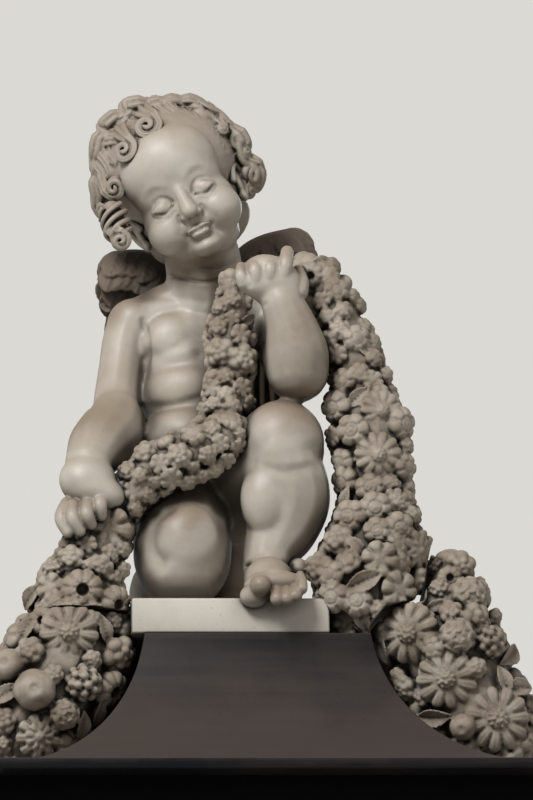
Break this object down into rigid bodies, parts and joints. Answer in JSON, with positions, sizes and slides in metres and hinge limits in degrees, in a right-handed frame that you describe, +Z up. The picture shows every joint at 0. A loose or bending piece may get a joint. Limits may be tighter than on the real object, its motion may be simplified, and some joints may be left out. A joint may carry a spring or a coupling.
{
  "type": "funerary monument crowning group",
  "caption": "Carved marble child with wings, half kneeling, holding a heavy flower garland, on a marble slab and a black limestone cap with four hollowed sides.",
  "frame": {"origin": "middle of the underside of the black base", "axes": "+Z up, -Y towards the front, +X to the right as seen from the front"},
  "size_m": [0.805, 0.785, 1.0815],
  "materials": {
    "weathered_marble": "satin marble with brown-grey dust and grime",
    "white_marble": "smooth sawn marble",
    "black_limestone": "dull polish with brown dust"
  },
  "bodies": {
    "root": {"child_with_garland": "weathered_marble", "left_swag": "weathered_marble", "right_swag": "weathered_marble", "marble_slab": "white_marble", "black_cap": "black_limestone", "black_base": "black_limestone"}
  },
  "joints": []
}
